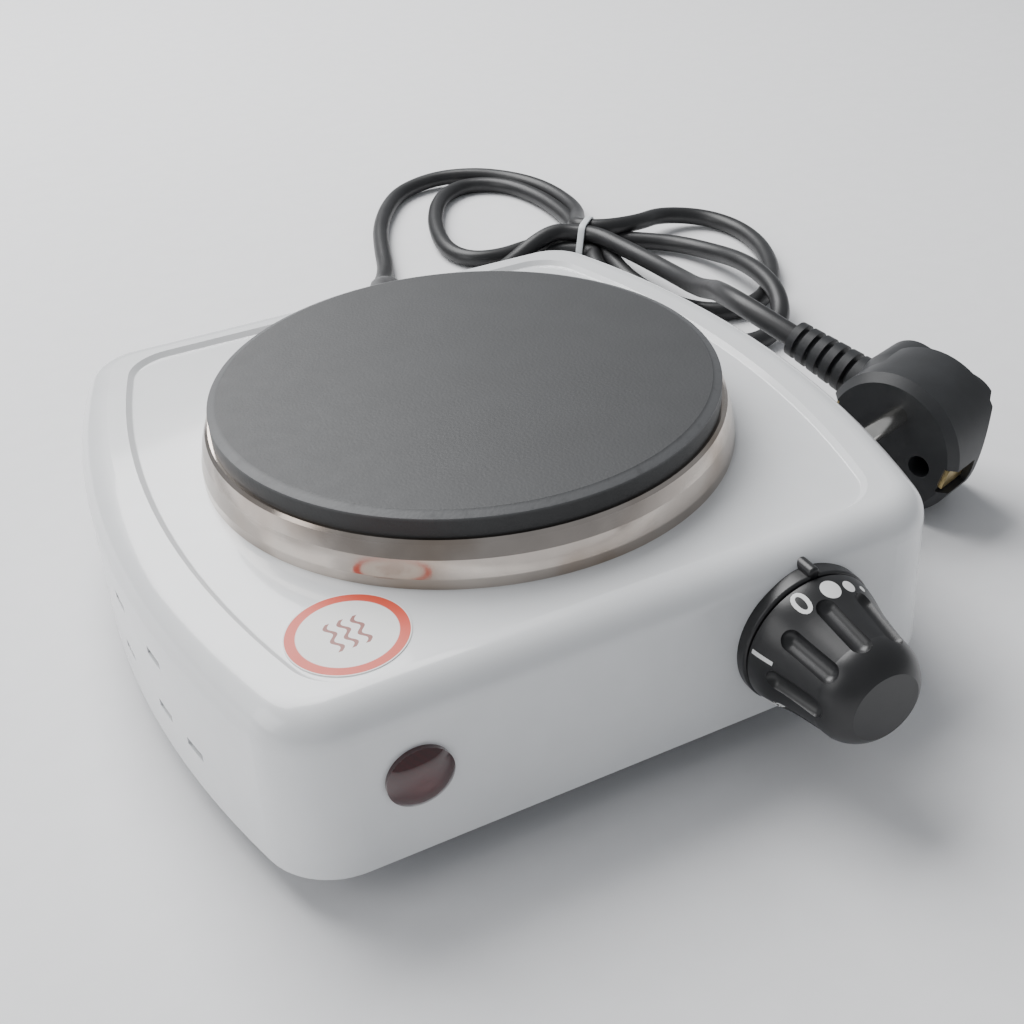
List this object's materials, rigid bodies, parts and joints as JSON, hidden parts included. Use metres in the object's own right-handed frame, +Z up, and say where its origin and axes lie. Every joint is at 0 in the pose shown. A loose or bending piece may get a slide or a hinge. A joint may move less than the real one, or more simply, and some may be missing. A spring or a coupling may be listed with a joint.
{
  "type": "electric hot plate",
  "caption": "Portable single-burner electric hot plate: enamelled sheet case, cast iron plate with steel ring, thermostat knob, indicator lamp and a tied mains lead with an angled plug.",
  "frame": {"origin": "on the table under the middle of the appliance, midway between the knob's end face and the back of the case, measured without the lead, its bush and its plug", "axes": "+Z up, -Y the front with the knob and lamp, +Y the back where the lead leaves, +X to the right of someone facing the front"},
  "size_m": [0.2582, 0.3578, 0.057],
  "materials": {
    "brass_plated": "plain brass",
    "bulb_glass": "clear",
    "ceramic": "unglazed steatite ceramic",
    "cord_black": "smooth dull black sheath",
    "dark_steel": "heat-tinted steel",
    "foot_rubber": "dull black rubber",
    "insulation": "rough pressed magnesia",
    "knob_black": "satin black",
    "label_white": "printed film, white with a red ring",
    "lamp_body": "natural white",
    "lamp_red": "clear dark red",
    "nickel_pin": "nickel-plated brass",
    "plate_iron": "matt dark heat-resistant coating",
    "plug_black": "fine satin black",
    "ring_steel": "polished stainless steel",
    "silver": "silver contacts",
    "tie_grey": "pale grey coated wire",
    "white_enamel": "glossy white stove enamel",
    "wire_blue": "silicone sleeve",
    "wire_brown": "silicone sleeve",
    "wire_green": "green and yellow sleeve",
    "wire_white": "glass-fibre sleeve",
    "zinc_steel": "zinc-plated sheet and screws"
  },
  "bodies": {
    "hot_plate": {"bimetal_strip": "dark_steel", "bush_nut": "brass_plated", "case_shell": "white_enamel", "case_tabs": "zinc_steel", "centre_stud": "zinc_steel", "ceramic_spacers": "ceramic", "clamp_bar": "zinc_steel", "coil_insulation": "insulation", "contact_blades": "brass_plated", "contact_points": "silver", "cord_bush": "plug_black", "cord_clamp": "plug_black", "cord_cores": "wire_brown", "cord_hank": "cord_black", "cord_inlet": "cord_black", "cord_lead": "cord_black", "cord_tail": "cord_black", "cord_tie": "tie_grey", "earth_screw": "zinc_steel", "earth_wire": "wire_green", "element_cover": "dark_steel", "element_pins": "dark_steel", "floor_pan": "zinc_steel", "foot_nuts": "zinc_steel", "foot_screws": "zinc_steel", "heat_shield": "dark_steel", "heating_coil": "dark_steel", "heating_plate": "plate_iron", "hot_label": "label_white", "knob_bezel": "knob_black", "lamp_clip": "zinc_steel", "lamp_holder": "lamp_body", "lamp_leads": "wire_white", "lamp_lens": "lamp_red", "live_wire": "wire_brown", "neon_bulb": "bulb_glass", "neutral_wire": "wire_blue", "pan_screws": "zinc_steel", "pin_beads": "ceramic", "plate_ring": "ring_steel", "plug_body": "plug_black", "plug_earth_clips": "brass_plated", "plug_pins": "nickel_pin", "plug_relief": "plug_black", "rubber_feet": "foot_rubber", "stack_rivet": "brass_plated", "stud_nut": "zinc_steel", "stud_washer": "zinc_steel", "switched_wire": "wire_white", "terminal_block": "ceramic", "terminal_screws": "brass_plated", "thermostat_bush": "brass_plated", "thermostat_frame": "zinc_steel"},
    "control": {"knob": "knob_black", "knob_clip": "zinc_steel", "control_shaft": "zinc_steel"}
  },
  "joints": [
    {"name": "knob_turn", "type": "hinge", "parent": "hot_plate", "child": "control", "pos_m": [0.0349, -0.0675, 0.0249], "axis": [0, 1, 0], "range_deg": [-333, 0]}
  ]
}
